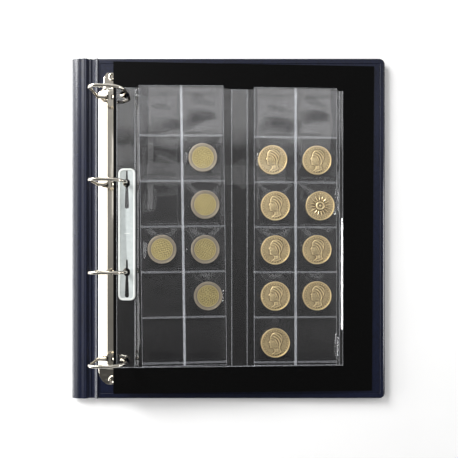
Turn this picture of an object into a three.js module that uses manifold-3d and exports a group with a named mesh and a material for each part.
// A coin album: a four-ring binder with a punched black interleaf, a clear page of two sleeves,
// a strip of coin pockets in each sleeve, fourteen coins and a clamp bar on the middle rings.
// Millimetres, +Z up, +Y towards the head of the page. The origin is under the middle of the album.
// The album lies open with its front cover folded back under the back cover.
import * as THREE from "three";
import { mergeVertices } from "three/addons/utils/BufferGeometryUtils.js";
import Module from "manifold-3d";

const wasm = await Module();
wasm.setup();

// Covers and spine
const COVER_ENDS = 7.5; // cover past the head and the foot of the interleaf
const COVER_FORE = 14.1; // cover past the interleaf's fore edge
const COVER_THICKNESS = 3;
const COVER_CORNER = 5.5;
const SKIN = 0.5; // bottom of the leatherette skin
const SKIN_RIM = 1; // skin turned up round the board
const LINING = 0.5;
const SPINE_HALF = 20.5; // hinge to fold, half of the soft spine
const FOLD_RADIUS = 2.4; // round on the spine's fold

// Ring mechanism
const PLATE_FROM_HINGE = 18; // hinge to the plate's centre line
const PLATE_PAST_RING = 24.5; // outer ring to the end of the plate
const PLATE_WIDTH = 25;
const PLATE_CROWN = 5; // flat along the plate's top
const PLATE_TOP = 4.6;
const PLATE_SIDE = 1.8;
const PLATE_WALL = 0.85;
const SEAT_LENGTH = 13; // flat seat at each end
const SEAT_HEIGHT = 1.6;
const SEAT_SLOPE = 6;
const RIVET_FROM_END = 4.8;
const RIVET_HEAD = 7.4;
const RIVET_SHANK = 3.6;
const RIVET_DOME = 1.4;
const RIVET_SHOULDER = { out: 0.8, up: 0.7 }; // shares of the head's radius and height where the dome bends
const BLADE_THICKNESS = 0.7;
const BLADE_LIFT = 0.4; // under side above the cover
const RING_PITCH = 80;
const RING_COUNT = 4;
const WIRE = 3; // diameter
const RING_HEIGHT = 28.5; // foot to top, wire centre to wire centre
const RING_BACK = 13; // plate's centre line to the straight post
const RING_ARC_FROM_CENTRE = 2; // plate's centre line to the centre of the round side
const RING_FOOT = 5.2; // wire centre above the cover
const RING_SPLIT = -0.8; // where the halves meet, from the plate's centre line
const POST_BEND = 6;
const ROOT_BEND = 2;
const LEFT_ROOT = -4.8;
const RIGHT_ROOT = 1.5;

// Leaves
const INTERLEAF_PAST_RING = 30; // outer ring to the head of the interleaf
const INTERLEAF_WIDTH = 235;
const INTERLEAF_THICKNESS = 0.4;
const INTERLEAF_MARGIN = 10.3; // binding edge to hole centres
const HOLE = 8;
const HOLE_DROP = 36; // degrees below level, where the leaves hang on the round side
const FILM = 0.25;
const PAGE_PAST_RING = 6.2; // outer ring to the head of the page
const PAGE_MARGIN = 7.3; // binding edge to hole centres
const PAGE_EDGE = 4; // film outside the last sleeve
const PAGE_WELD = 0.6; // closed foot of the sleeves
const SLEEVE_GAP = 15; // plain film between the sleeves
const SLEEVE_PLAYS = [10.3, 7.8]; // room beside each strip

// Strips of pockets
const STRIP_WIDTH = 76.2;
const STRIP_FOOT = 3; // film below the last row
const STRIP_FLAP = 4.4; // film above the first row
const STRIP_TURNS = [0.75, 0]; // degrees, how each strip lies in its sleeve
const STRIP_SHIFTS = [-0.5, 1.8]; // how far each strip lies off its sleeve's middle
const ROWS = 6;
const COLUMNS = 2;
const ROW_PITCH = 41;
const ROW_SEAM = 2;
const COLUMN_SEAM = 2.9;

// Coins: row from the head, column, and how far the coin has slipped from its pocket's middle
const BIMETAL = { diameter: 25.75, core: 19.5, thickness: 2.2 };
const GOLD = { diameter: 26.5, thickness: 2 };
const BIMETAL_PLACES = [
  { row: 2, column: 2, slip: [-0.3, 0.4] },
  { row: 3, column: 2, slip: [1.3, -1.1] },
  { row: 4, column: 1, slip: [0.1, 0] },
  { row: 4, column: 2, slip: [0.8, -0.5] },
  { row: 5, column: 2, slip: [2.9, -1.6] },
];
const GOLD_PLACES = [
  { row: 2, column: 1, slip: [-2.1, -0.3] },
  { row: 2, column: 2, slip: [0.5, -0.3] },
  { row: 3, column: 1, slip: [0.4, -1.2] },
  { row: 3, column: 2, slip: [3.4, -0.9] },
  { row: 4, column: 1, slip: [0.4, -0.3] },
  { row: 4, column: 2, slip: [0.5, 0] },
  { row: 5, column: 1, slip: [0.4, -1.2] },
  { row: 5, column: 2, slip: [0.5, -1.1] },
  { row: 6, column: 1, slip: [0.4, -2.8] },
];

// Clamp bar
const BAR_HEAD = 4.5; // bar past the upper slot
const BAR_FOOT = 3.3; // bar past the lower slot
const BAR_WIDTH = 14.4;
const BAR_THICKNESS = 1.4;
const BAR_FROM_HOLES = 0.8; // hole centres to the bar's middle
const BAR_CORNER = 4.5;
const BAR_TIP = 1.4; // slot's width at its narrow end
const BAR_TAIL = 3.8; // slot's width at its wide end
const BAR_TIP_REACH = 12.5; // ring to the narrow end of a slot
const BAR_TAIL_REACH = 23; // ring to the wide end
const BAR_EYE = 6.3; // opening in the slot where the ring slants through
const BAR_EYE_LENGTH = 7.5;
const BAR_EYE_OFFSET = 0.9; // eye's middle from the bar's middle

// Clearances
const GAP = 0.3; // between pieces that lie on each other
const RUNNING = 0.5; // between wire and slot
const RIVET_CLEARANCE = 0.15;
const BAR_SWING = 1.4; // beside the bar, for its edge to pass the first sleeve as it lifts

const OVERSHOOT = 1; // how far a cutter runs past the face it cuts
const MERGE_WITHIN = 1e-4; // points closer than this are one

// Facets
const WIRE_SIDES = 10;
const POST_SIDES = 20;
const COIN_SIDES = 28;
const ROUND_STEPS = 5;
const RING_STEPS = 24;

// Places that follow from the sizes
const RINGS_SPAN = (RING_COUNT - 1) * RING_PITCH;
const PLATE_LENGTH = RINGS_SPAN + 2 * PLATE_PAST_RING;
const INTERLEAF_LENGTH = RINGS_SPAN + 2 * INTERLEAF_PAST_RING;
const PAGE_LENGTH = RINGS_SPAN + 2 * PAGE_PAST_RING;
const STRIP_LENGTH = STRIP_FOOT + ROWS * ROW_PITCH + STRIP_FLAP;
const POCKET_WIDTH = STRIP_WIDTH / COLUMNS - COLUMN_SEAM;
const POCKET_HEIGHT = ROW_PITCH - ROW_SEAM;
const DROP = THREE.MathUtils.degToRad(HOLE_DROP);
const ARC_R = RING_HEIGHT / 2;
const HOLES_FROM_HINGE = PLATE_FROM_HINGE + RING_ARC_FROM_CENTRE + ARC_R * Math.cos(DROP);
const INTERLEAF_REACH = INTERLEAF_WIDTH - INTERLEAF_MARGIN;
const COVER_LENGTH = INTERLEAF_LENGTH + 2 * COVER_ENDS;
const COVER_WIDTH = HOLES_FROM_HINGE + INTERLEAF_REACH + COVER_FORE;
const FREE_EDGE = (COVER_WIDTH + SPINE_HALF - GAP / 2) / 2;
const HINGE_X = FREE_EDGE - COVER_WIDTH;
const FOLD_X = HINGE_X - SPINE_HALF;
const BACK_BOTTOM = COVER_THICKNESS + GAP;
const INNER_FACE = BACK_BOTTOM + COVER_THICKNESS;
const PLATE_X = HINGE_X + PLATE_FROM_HINGE;
const WIRE_R = WIRE / 2;
const ARC_X = PLATE_X + RING_ARC_FROM_CENTRE;
const FOOT_Z = INNER_FACE + RING_FOOT;
const ARC_Z = FOOT_Z + ARC_R;
const HOLE_X = HINGE_X + HOLES_FROM_HINGE;
const HOLE_Z = ARC_Z - ARC_R * Math.sin(DROP);
const INTERLEAF_BASE = -INTERLEAF_THICKNESS - GAP;
const LEAF_TILT = Math.asin((HOLE_Z - INNER_FACE + INTERLEAF_BASE - GAP) / INTERLEAF_REACH);
const RING_YS = Array.from({ length: RING_COUNT }, (_, i) => RINGS_SPAN / 2 - i * RING_PITCH);
const RIVET_Y = PLATE_LENGTH / 2 - RIVET_FROM_END;
const STRIP_BACK = FILM + GAP;
const COIN_Z = STRIP_BACK + FILM + GAP;
const POCKET_TOP = COIN_Z + GAP + Math.max(BIMETAL.thickness, GOLD.thickness) + GAP;
const SLEEVE_TOP = POCKET_TOP + FILM + GAP;
const MARGIN_TOP = FILM + GAP + FILM;

const leatherette = new THREE.MeshStandardMaterial({ color: 0x262a3a, roughness: 0.5 });
const greyboard = new THREE.MeshStandardMaterial({ color: 0x8b8478, roughness: 0.9 });
const nickel = new THREE.MeshStandardMaterial({ color: 0xcfcabf, roughness: 0.2, metalness: 1 });
const blackCard = new THREE.MeshStandardMaterial({ color: 0x141414, roughness: 0.8 });
const clearFilm = new THREE.MeshStandardMaterial({
  color: 0xe8ecee,
  roughness: 0.1,
  transparent: true,
  opacity: 0.3,
});
const frostedWhite = new THREE.MeshStandardMaterial({ color: 0xe1e6e4, roughness: 0.45 });
const coinSilver = new THREE.MeshStandardMaterial({ color: 0xafa89e, roughness: 0.3, metalness: 1 });
const coinGold = new THREE.MeshStandardMaterial({ color: 0xc8ac73, roughness: 0.3, metalness: 1 });

// Solids

function toSolid(geometry) {
  const bare = geometry.clone();
  bare.deleteAttribute("normal");
  bare.deleteAttribute("uv");
  const merged = mergeVertices(bare, MERGE_WITHIN);
  return new wasm.Manifold(
    new wasm.Mesh({
      numProp: 3,
      vertProperties: merged.attributes.position.array,
      triVerts: new Uint32Array(merged.index.array),
    }),
  );
}

function toGeometry(solid) {
  const mesh = solid.getMesh();
  const geometry = new THREE.BufferGeometry();
  geometry.setAttribute("position", new THREE.BufferAttribute(mesh.vertProperties, 3));
  geometry.setIndex(new THREE.BufferAttribute(mesh.triVerts, 1));
  geometry.computeVertexNormals();
  return geometry;
}

function cut(geometry, cutters) {
  const left = cutters.reduce((solid, cutter) => solid.subtract(toSolid(cutter)), toSolid(geometry));
  return toGeometry(left);
}

function box(x0, x1, y0, y1, z0, z1) {
  const geometry = new THREE.BoxGeometry(x1 - x0, y1 - y0, z1 - z0);
  return geometry.translate((x0 + x1) / 2, (y0 + y1) / 2, (z0 + z1) / 2);
}

function slab(shape, z0, z1) {
  const geometry = new THREE.ExtrudeGeometry(shape, {
    depth: z1 - z0,
    bevelEnabled: false,
    curveSegments: ROUND_STEPS,
  });
  return geometry.translate(0, 0, z0);
}

function post(x, y, radius, z0, z1) {
  const geometry = new THREE.CylinderGeometry(radius, radius, z1 - z0, POST_SIDES);
  return geometry.rotateX(Math.PI / 2).translate(x, y, (z0 + z1) / 2);
}

// A section in X and Z, drawn along Y.
function alongY(shape, y0, y1) {
  const geometry = new THREE.ExtrudeGeometry(shape, {
    depth: y1 - y0,
    bevelEnabled: false,
    curveSegments: ROUND_STEPS,
  });
  return geometry.rotateX(Math.PI / 2).translate(0, y1, 0);
}

function polygon(points) {
  return new THREE.Shape(points.map(([x, y]) => new THREE.Vector2(x, y)));
}

// A rectangle whose corners on the free side, at x1, are round.
function panel(x0, x1, y0, y1, corner) {
  const shape = new THREE.Shape();
  shape.moveTo(x0, y0);
  shape.lineTo(x1 - corner, y0);
  shape.absarc(x1 - corner, y0 + corner, corner, -Math.PI / 2, 0, false);
  shape.lineTo(x1, y1 - corner);
  shape.absarc(x1 - corner, y1 - corner, corner, 0, Math.PI / 2, false);
  shape.lineTo(x0, y1);
  shape.closePath();
  return shape;
}

// A slot with round ends along Y, as wide as width0 at y0 and width1 at y1.
function slot(x, y0, y1, width0, width1 = width0) {
  const r0 = width0 / 2;
  const r1 = width1 / 2;
  const shape = new THREE.Shape();
  shape.moveTo(x + r0, y0 + r0);
  shape.lineTo(x + r1, y1 - r1);
  shape.absarc(x, y1 - r1, r1, 0, Math.PI, false);
  shape.lineTo(x - r0, y0 + r0);
  shape.absarc(x, y0 + r0, r0, Math.PI, 2 * Math.PI, false);
  return shape;
}

// A rectangle with four round corners.
function plaque(x0, x1, y0, y1, corner) {
  const quarter = Math.PI / 2;
  const shape = new THREE.Shape();
  shape.moveTo(x0 + corner, y0);
  shape.lineTo(x1 - corner, y0);
  shape.absarc(x1 - corner, y0 + corner, corner, -quarter, 0, false);
  shape.lineTo(x1, y1 - corner);
  shape.absarc(x1 - corner, y1 - corner, corner, 0, quarter, false);
  shape.lineTo(x0 + corner, y1);
  shape.absarc(x0 + corner, y1 - corner, corner, quarter, 2 * quarter, false);
  shape.lineTo(x0, y0 + corner);
  shape.absarc(x0 + corner, y0 + corner, corner, 2 * quarter, 3 * quarter, false);
  return shape;
}

function node(name, geometry, material) {
  const mesh = new THREE.Mesh(geometry, material);
  mesh.name = name;
  return mesh;
}

// Covers

// One cover: a skin turned up round a board, and a lining over the board.
// up is true where the lining faces up.
function cover(name, bottom, up, rivetYs) {
  const x0 = HINGE_X + GAP / 2;
  const y = COVER_LENGTH / 2;
  const top = bottom + COVER_THICKNESS;
  const flip = (z0, z1) => (up ? [bottom + z0, bottom + z1] : [top - z1, top - z0]);
  const inset = (by) => panel(x0 + by, FREE_EDGE - by, by - y, y - by, COVER_CORNER - by);
  const holes = rivetYs.map((at) =>
    post(PLATE_X, at, RIVET_SHANK / 2 + RIVET_CLEARANCE, bottom - OVERSHOOT, top + OVERSHOOT),
  );
  const boardTop = COVER_THICKNESS - LINING;
  const pocket = slab(inset(SKIN_RIM), ...flip(SKIN, COVER_THICKNESS + OVERSHOOT));
  const skin = cut(slab(inset(0), bottom, top), [pocket, ...holes]);
  const board = cut(slab(inset(SKIN_RIM + GAP), ...flip(SKIN, boardTop)), holes);
  const lining = cut(slab(inset(SKIN_RIM + GAP), ...flip(boardTop, COVER_THICKNESS)), holes);
  return [
    node(`${name}_cover_skin`, skin, leatherette),
    node(`${name}_cover_board`, board, greyboard),
    node(`${name}_cover_lining`, lining, leatherette),
  ];
}

// Half of the soft spine, round at the fold on the side away from the other half.
function spineHalf(name, bottom, roundTop) {
  const left = FOLD_X + GAP / 2;
  const right = HINGE_X - GAP / 2;
  const top = bottom + COVER_THICKNESS;
  const shape = new THREE.Shape();
  if (roundTop) {
    shape.moveTo(left, bottom);
    shape.lineTo(right, bottom);
    shape.lineTo(right, top);
    shape.lineTo(left + FOLD_RADIUS, top);
    shape.absarc(left + FOLD_RADIUS, top - FOLD_RADIUS, FOLD_RADIUS, Math.PI / 2, Math.PI, false);
  } else {
    shape.moveTo(left, top);
    shape.absarc(left + FOLD_RADIUS, bottom + FOLD_RADIUS, FOLD_RADIUS, Math.PI, 1.5 * Math.PI, false);
    shape.lineTo(right, bottom);
    shape.lineTo(right, top);
  }
  shape.closePath();
  return node(name, alongY(shape, -COVER_LENGTH / 2, COVER_LENGTH / 2), leatherette);
}

// Ring mechanism

class ArcXZ extends THREE.Curve {
  constructor(x, z, radius, from, to, y) {
    super();
    Object.assign(this, { x, z, radius, from, to, y });
  }
  getPoint(t, target = new THREE.Vector3()) {
    const angle = this.from + (this.to - this.from) * t;
    return target.set(this.x + this.radius * Math.cos(angle), this.y, this.z + this.radius * Math.sin(angle));
  }
}

function line(x0, z0, x1, z1, y) {
  return new THREE.LineCurve3(new THREE.Vector3(x0, y, z0), new THREE.Vector3(x1, y, z1));
}

function wire(curves) {
  const path = new THREE.CurvePath();
  curves.forEach((curve) => path.add(curve));
  const section = new THREE.Shape();
  section.absarc(0, 0, WIRE_R, 0, 2 * Math.PI, false);
  const geometry = new THREE.ExtrudeGeometry(section, {
    steps: RING_STEPS,
    curveSegments: WIRE_SIDES / 2,
    extrudePath: path,
  });
  return toGeometry(toSolid(geometry));
}

const BLADE_BASE = INNER_FACE + BLADE_LIFT;
const BLADE_TOP = BLADE_BASE + BLADE_THICKNESS;
const ROOT_Z = BLADE_TOP + GAP;
const RING_TOP = FOOT_Z + RING_HEIGHT;
const SPLIT_X = PLATE_X + RING_SPLIT;

// The straight-backed half: root, foot over the plate, post, and half of the top.
function leftHalf(y) {
  const root = PLATE_X + LEFT_ROOT;
  const back = PLATE_X - RING_BACK;
  const quarter = Math.PI / 2;
  return wire([
    line(root, ROOT_Z, root, FOOT_Z - ROOT_BEND, y),
    new ArcXZ(root - ROOT_BEND, FOOT_Z - ROOT_BEND, ROOT_BEND, 0, quarter, y),
    line(root - ROOT_BEND, FOOT_Z, back + ROOT_BEND, FOOT_Z, y),
    new ArcXZ(back + ROOT_BEND, FOOT_Z + ROOT_BEND, ROOT_BEND, 3 * quarter, 2 * quarter, y),
    line(back, FOOT_Z + ROOT_BEND, back, RING_TOP - POST_BEND, y),
    new ArcXZ(back + POST_BEND, RING_TOP - POST_BEND, POST_BEND, 2 * quarter, quarter, y),
    line(back + POST_BEND, RING_TOP, SPLIT_X - GAP / 2, RING_TOP, y),
  ]);
}

// The round half, which carries the leaves.
function rightHalf(y) {
  const root = PLATE_X + RIGHT_ROOT;
  const bendEnd = root + ROOT_BEND;
  const start = -Math.acos((bendEnd - ARC_X) / ARC_R);
  const startZ = ARC_Z + ARC_R * Math.sin(start);
  const quarter = Math.PI / 2;
  return wire([
    line(root, ROOT_Z, root, startZ - ROOT_BEND, y),
    new ArcXZ(bendEnd, startZ - ROOT_BEND, ROOT_BEND, 2 * quarter, quarter, y),
    new ArcXZ(ARC_X, ARC_Z, ARC_R, start, quarter, y),
    line(ARC_X, RING_TOP, SPLIT_X + GAP / 2, RING_TOP, y),
  ]);
}

// The plate's section, from its floor to its roof.
function plateSection(wall) {
  const half = PLATE_WIDTH / 2 - wall;
  const crown = PLATE_CROWN / 2;
  const floor = INNER_FACE - (wall ? OVERSHOOT : 0);
  const side = INNER_FACE + PLATE_SIDE - (wall ? wall / 2 : 0);
  const roof = INNER_FACE + PLATE_TOP - wall;
  return polygon([
    [PLATE_X - half, floor],
    [PLATE_X + half, floor],
    [PLATE_X + half, side],
    [PLATE_X + crown, roof],
    [PLATE_X - crown, roof],
    [PLATE_X - half, side],
  ]);
}

function plate() {
  const end = PLATE_LENGTH / 2;
  const seat = end - SEAT_LENGTH;
  const floor = INNER_FACE;
  const seatTop = floor + SEAT_HEIGHT;
  const roof = floor + PLATE_TOP;
  const side = polygon([
    [-end, floor],
    [end, floor],
    [end, seatTop],
    [seat, seatTop],
    [seat - SEAT_SLOPE, roof],
    [SEAT_SLOPE - seat, roof],
    [-seat, seatTop],
    [-end, seatTop],
  ]);
  const sideView = new THREE.ExtrudeGeometry(side, { depth: PLATE_WIDTH, bevelEnabled: false });
  sideView.rotateX(Math.PI / 2).rotateZ(Math.PI / 2).translate(PLATE_X - PLATE_WIDTH / 2, 0, 0);
  const outline = toSolid(slab(slot(PLATE_X, -end, end, PLATE_WIDTH), floor, roof));
  const outside = toSolid(alongY(plateSection(0), -end, end)).intersect(toSolid(sideView)).intersect(outline);
  const hollowEnd = seat - SEAT_SLOPE;
  const hollow = alongY(plateSection(PLATE_WALL), -hollowEnd, hollowEnd);
  const halfSlot = WIRE_R + RUNNING;
  const slotFloor = floor + PLATE_SIDE / 2;
  const slots = RING_YS.flatMap((y) => [
    box(
      PLATE_X + LEFT_ROOT - ROOT_BEND - WIRE_R, PLATE_X + LEFT_ROOT + halfSlot,
      y - halfSlot, y + halfSlot, slotFloor, roof + OVERSHOOT,
    ),
    box(
      PLATE_X + RIGHT_ROOT - halfSlot, PLATE_X + RIGHT_ROOT + ROOT_BEND + WIRE,
      y - halfSlot, y + halfSlot, slotFloor, roof + OVERSHOOT,
    ),
  ]);
  const holes = [RIVET_Y, -RIVET_Y].map((y) =>
    post(PLATE_X, y, RIVET_SHANK / 2 + RIVET_CLEARANCE, floor - OVERSHOOT, roof),
  );
  return node("ring_plate", cut(toGeometry(outside), [hollow, ...slots, ...holes]), nickel);
}

// A blade under the plate, from its pivot edge to the middle. side is -1 on the left and 1 on the right.
function blade(name, side) {
  const outer = PLATE_X + side * (PLATE_WIDTH / 2 - PLATE_WALL - GAP);
  const inner = PLATE_X + side * GAP;
  const half = PLATE_LENGTH / 2 - SEAT_LENGTH - SEAT_SLOPE - 2 * GAP;
  const geometry = box(Math.min(outer, inner), Math.max(outer, inner), -half, half, BLADE_BASE, BLADE_TOP);
  return node(name, geometry, nickel);
}

function rivet(name, y) {
  const seat = INNER_FACE + SEAT_HEIGHT;
  const head = RIVET_HEAD / 2;
  const shank = RIVET_SHANK / 2;
  const profile = [
    [0, BACK_BOTTOM],
    [shank, BACK_BOTTOM],
    [shank, seat],
    [head, seat],
    [head * RIVET_SHOULDER.out, seat + RIVET_DOME * RIVET_SHOULDER.up],
    [0, seat + RIVET_DOME],
  ].map(([x, z]) => new THREE.Vector2(x, z));
  const geometry = new THREE.LatheGeometry(profile, POST_SIDES);
  geometry.rotateX(Math.PI / 2).translate(PLATE_X, y, 0);
  return node(name, toGeometry(toSolid(geometry)), nickel);
}

// Leaves, in a frame at the holes with x across the leaf

function ringHoles(z0, z1) {
  return RING_YS.map((y) => post(0, y, HOLE / 2, z0 - OVERSHOOT, z1 + OVERSHOOT));
}

function interleaf() {
  const y = INTERLEAF_LENGTH / 2;
  const top = INTERLEAF_BASE + INTERLEAF_THICKNESS;
  const sheet = box(-INTERLEAF_MARGIN, INTERLEAF_REACH, -y, y, INTERLEAF_BASE, top);
  return node("black_interleaf", cut(sheet, ringHoles(INTERLEAF_BASE, top)), blackCard);
}

const SLEEVE_LEFT = BAR_FROM_HOLES + BAR_WIDTH / 2 + BAR_SWING + FILM;
const SLEEVE_WIDTHS = SLEEVE_PLAYS.map((play) => STRIP_WIDTH + play);
const SECOND_SLEEVE = SLEEVE_LEFT + SLEEVE_WIDTHS[0] + SLEEVE_GAP;
const SLEEVES = [
  { left: SLEEVE_LEFT, right: SLEEVE_LEFT + SLEEVE_WIDTHS[0] },
  { left: SECOND_SLEEVE, right: SECOND_SLEEVE + SLEEVE_WIDTHS[1] },
];
const PAGE_RIGHT = SLEEVES[1].right + PAGE_EDGE;

function pageBack() {
  const y = PAGE_LENGTH / 2;
  const sheet = box(-PAGE_MARGIN, PAGE_RIGHT, -y, y, 0, FILM);
  return node("page_back_film", cut(sheet, ringHoles(0, FILM)), clearFilm);
}

// The front film lies low at the welds and stands over each sleeve, which is open at the head.
function pageFront() {
  const y = PAGE_LENGTH / 2;
  const low = FILM + GAP;
  const outline = [[-PAGE_MARGIN, low]];
  SLEEVES.forEach(({ left, right }) => {
    outline.push([left, low], [left, SLEEVE_TOP], [right, SLEEVE_TOP], [right, low]);
  });
  outline.push([PAGE_RIGHT, low]);
  const over = [[PAGE_RIGHT, low + FILM]];
  SLEEVES.toReversed().forEach(({ left, right }) => {
    over.push(
      [right + FILM, low + FILM], [right + FILM, SLEEVE_TOP + FILM],
      [left - FILM, SLEEVE_TOP + FILM], [left - FILM, low + FILM],
    );
  });
  over.push([-PAGE_MARGIN, low + FILM]);
  const film = toSolid(alongY(polygon([...outline, ...over]), -y, y));
  const feet = SLEEVES.map(({ left, right }) =>
    toSolid(box(left - FILM / 2, right + FILM / 2, -y, PAGE_WELD - y, low, SLEEVE_TOP + FILM / 2)),
  );
  const closed = feet.reduce((solid, foot) => solid.add(foot), film);
  return node("page_front_film", cut(toGeometry(closed), ringHoles(FILM, MARGIN_TOP)), clearFilm);
}

// One strip about its own middle: a back film, and a front film with a pocket for each coin.
const STRIP_HEAD = STRIP_LENGTH / 2;
const LAST_SEAM = STRIP_FOOT - STRIP_HEAD;

function pocketMiddle(row, column) {
  return {
    x: (column - (COLUMNS + 1) / 2) * (STRIP_WIDTH / COLUMNS),
    y: LAST_SEAM + (ROWS - row + 0.5) * ROW_PITCH,
  };
}

function stripBack(name) {
  const half = STRIP_WIDTH / 2;
  const sheet = box(-half, half, -STRIP_HEAD, STRIP_HEAD, STRIP_BACK, STRIP_BACK + FILM);
  return node(name, sheet, clearFilm);
}

function stripPockets(name) {
  const half = STRIP_WIDTH / 2;
  const low = COIN_Z;
  const block = box(-half, half, -STRIP_HEAD, STRIP_HEAD, low, POCKET_TOP + FILM);
  const cavities = [];
  for (let row = 1; row <= ROWS; row += 1) {
    for (let column = 1; column <= COLUMNS; column += 1) {
      const { x, y } = pocketMiddle(row, column);
      const w = POCKET_WIDTH / 2;
      const h = POCKET_HEIGHT / 2;
      const mouth = row === 1 ? STRIP_HEAD - ROW_SEAM : y + h;
      cavities.push(box(x - w, x + w, y - h, mouth, low - OVERSHOOT, POCKET_TOP));
    }
  }
  return node(name, cut(block, cavities), clearFilm);
}

// Coins

function turned(points) {
  const profile = points.map(([x, z]) => new THREE.Vector2(x, z));
  const geometry = new THREE.LatheGeometry(profile, COIN_SIDES).rotateX(Math.PI / 2);
  return toGeometry(toSolid(geometry));
}

const COIN_EDGE = 0.3; // chamfer
const COIN_BORDER = 1.1; // raised border round each face
const COIN_FIELD = 0.25; // depth of the face inside its border

// A coin's section from a radius to its rim, with a border on both faces.
function coinSection(from, r, t) {
  const field = r - COIN_BORDER;
  return [
    [from, COIN_FIELD], [field, COIN_FIELD], [field, 0], [r - COIN_EDGE, 0], [r, COIN_EDGE],
    [r, t - COIN_EDGE], [r - COIN_EDGE, t], [field, t], [field, t - COIN_FIELD], [from, t - COIN_FIELD],
  ];
}

function goldCoin(name) {
  return node(name, turned(coinSection(0, GOLD.diameter / 2, GOLD.thickness)), coinGold);
}

function bimetalRim(name) {
  const hole = BIMETAL.core / 2;
  const section = coinSection(hole, BIMETAL.diameter / 2, BIMETAL.thickness);
  return node(name, turned([...section, section[0]]), coinSilver);
}

function bimetalCore(name) {
  const r = BIMETAL.core / 2 - GAP / 2;
  const low = COIN_FIELD;
  const high = BIMETAL.thickness - COIN_FIELD;
  return node(name, turned([[0, low], [r, low], [r, high], [0, high]]), coinGold);
}

function place(meshes, { row, column, slip }) {
  const holder = new THREE.Group();
  const middle = pocketMiddle(row, column);
  holder.position.set(middle.x + slip[0], middle.y + slip[1], COIN_Z + GAP);
  holder.add(...meshes);
  return holder;
}

function strip(index, name, coins) {
  const group = new THREE.Group();
  const { left, right } = SLEEVES[index];
  const turn = THREE.MathUtils.degToRad(STRIP_TURNS[index]);
  const foot = STRIP_HEAD * Math.cos(turn) + (STRIP_WIDTH / 2) * Math.sin(Math.abs(turn));
  group.position.set((left + right) / 2 + STRIP_SHIFTS[index], PAGE_WELD + GAP + foot - PAGE_LENGTH / 2, 0);
  group.rotation.z = turn;
  group.add(stripBack(`${name}_strip_back`), stripPockets(`${name}_strip_pockets`), ...coins);
  return group;
}

// Clamp bar: a flat bar with a tapering slot for each middle ring and an eye where the ring goes through.
function clampBar() {
  const base = MARGIN_TOP + GAP;
  const top = base + BAR_THICKNESS;
  const head = RING_YS[1] + BAR_TIP_REACH + BAR_HEAD;
  const foot = RING_YS[2] - BAR_TAIL_REACH - BAR_FOOT;
  const half = BAR_WIDTH / 2;
  const bar = slab(plaque(BAR_FROM_HOLES - half, BAR_FROM_HOLES + half, foot, head, BAR_CORNER), base, top);
  const through = (shape) => slab(shape, base - OVERSHOOT, top + OVERSHOOT);
  const eyeX = BAR_FROM_HOLES + BAR_EYE_OFFSET;
  const eyeHalf = BAR_EYE_LENGTH / 2;
  const cutters = [RING_YS[1], RING_YS[2]].flatMap((y) => [
    through(slot(BAR_FROM_HOLES, y - BAR_TAIL_REACH, y + BAR_TIP_REACH, BAR_TAIL, BAR_TIP)),
    through(slot(eyeX, y - eyeHalf, y + eyeHalf, BAR_EYE)),
  ]);
  return node("clamp_bar", cut(bar, cutters), frostedWhite);
}

// Assembly

const bimetals = BIMETAL_PLACES.map((at, i) =>
  place([bimetalRim(`bimetal_rim_${i + 1}`), bimetalCore(`bimetal_core_${i + 1}`)], at),
);
const golds = GOLD_PLACES.map((at, i) => place([goldCoin(`gold_coin_${i + 1}`)], at));

const leaves = new THREE.Group();
leaves.position.set(HOLE_X, 0, HOLE_Z);
leaves.rotation.y = LEAF_TILT;
leaves.add(
  interleaf(),
  pageBack(),
  pageFront(),
  strip(0, "left", bimetals),
  strip(1, "right", golds),
  clampBar(),
);

const album = new THREE.Group();
album.add(
  ...cover("back", BACK_BOTTOM, true, [RIVET_Y, -RIVET_Y]),
  ...cover("front", 0, false, []),
  spineHalf("spine_back_half", BACK_BOTTOM, true),
  spineHalf("spine_front_half", 0, false),
  plate(),
  blade("left_blade", -1),
  blade("right_blade", 1),
  rivet("head_rivet", RIVET_Y),
  rivet("tail_rivet", -RIVET_Y),
  ...RING_YS.map((y, i) => node(`left_ring_${i + 1}`, leftHalf(y), nickel)),
  ...RING_YS.map((y, i) => node(`right_ring_${i + 1}`, rightHalf(y), nickel)),
  leaves,
);

export default album;
